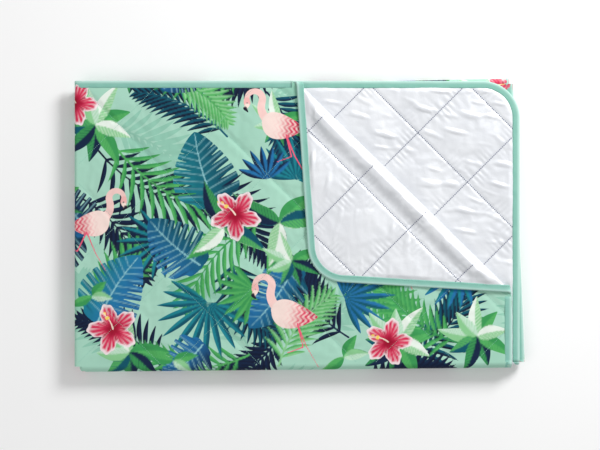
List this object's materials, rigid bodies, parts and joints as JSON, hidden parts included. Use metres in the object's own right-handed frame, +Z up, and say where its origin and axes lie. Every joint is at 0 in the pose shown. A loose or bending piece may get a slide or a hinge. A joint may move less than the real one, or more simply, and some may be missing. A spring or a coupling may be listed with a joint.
{
  "type": "quilted camp blanket",
  "caption": "Quilted picnic blanket with printed face, silver backing and bound edges, folded in half and then in three, with one corner turned back.",
  "frame": {"origin": "middle of the folded bundle's box, on the surface it lies on", "axes": "+X along the long side, from the left rolls to the bound right edges; +Y from the front fold to the back edge; +Z up"},
  "size_m": [0.7734, 0.505, 0.0346],
  "materials": {
    "printed_cloth": "plain-weave polyester, mint ground with a printed tropical pattern of leaves, flowers and birds",
    "wadding": "soft white polyester wadding, hidden inside",
    "silver_backing": "thin aluminised film on cloth, satin, puckered along diagonal quilting",
    "binding_tape": "mint woven polyester tape, folded over the edge and stitched"
  },
  "bodies": {
    "bottom_third": {"face_bottom": "printed_cloth", "wadding_bottom": "wadding", "backing_bottom": "silver_backing", "binding_bottom_front_and_right": "binding_tape", "face_back_outer_fold": "printed_cloth", "wadding_back_outer_fold": "wadding", "backing_back_outer_fold": "silver_backing", "binding_back_outer_fold": "binding_tape", "face_back_inner_fold": "printed_cloth", "wadding_back_inner_fold": "wadding", "backing_back_inner_fold": "silver_backing", "binding_back_inner_fold": "binding_tape"},
    "middle_third": {"face_middle": "printed_cloth", "wadding_middle": "wadding", "backing_middle": "silver_backing", "binding_middle_upper_right": "binding_tape", "binding_middle_lower_right": "binding_tape", "face_front_outer_fold": "printed_cloth", "wadding_front_outer_fold": "wadding", "backing_front_outer_fold": "silver_backing", "binding_front_outer_fold": "binding_tape", "face_front_inner_fold": "printed_cloth", "wadding_front_inner_fold": "wadding", "backing_front_inner_fold": "silver_backing", "binding_front_inner_fold": "binding_tape"},
    "top_third": {"face_top": "printed_cloth", "wadding_top": "wadding", "backing_top": "silver_backing", "binding_top_back_and_right": "binding_tape", "binding_top_layer_right": "binding_tape", "face_crease": "printed_cloth", "wadding_crease": "wadding", "backing_crease": "silver_backing", "binding_crease_back": "binding_tape", "binding_crease_right": "binding_tape"},
    "corner_flap": {"face_corner": "printed_cloth", "wadding_corner": "wadding", "backing_corner": "silver_backing", "binding_corner": "binding_tape"}
  },
  "joints": [
    {"name": "back_fold", "type": "hinge", "parent": "bottom_third", "child": "middle_third", "pos_m": [-0.38651, 0.22718, 0.0098], "axis": [-0.9998, -0.0208, 0], "range_deg": [0, 180], "deforming": ["face_back_outer_fold", "wadding_back_outer_fold", "backing_back_outer_fold", "binding_back_outer_fold", "face_back_inner_fold", "wadding_back_inner_fold", "backing_back_inner_fold", "binding_back_inner_fold"]},
    {"name": "front_fold", "type": "hinge", "parent": "middle_third", "child": "top_third", "pos_m": [-0.38682, -0.24282, 0.0198], "axis": [1, 0.0099, 0], "range_deg": [0, 180], "deforming": ["face_front_outer_fold", "wadding_front_outer_fold", "backing_front_outer_fold", "binding_front_outer_fold", "face_front_inner_fold", "wadding_front_inner_fold", "backing_front_inner_fold", "binding_front_inner_fold"]},
    {"name": "corner_crease", "type": "hinge", "parent": "top_third", "child": "corner_flap", "pos_m": [0.35992, -0.11905, 0.0298], "axis": [-0.7138, 0.7003, 0], "range_deg": [0, 180], "deforming": ["face_crease", "wadding_crease", "backing_crease", "binding_crease_back", "binding_crease_right"]}
  ]
}
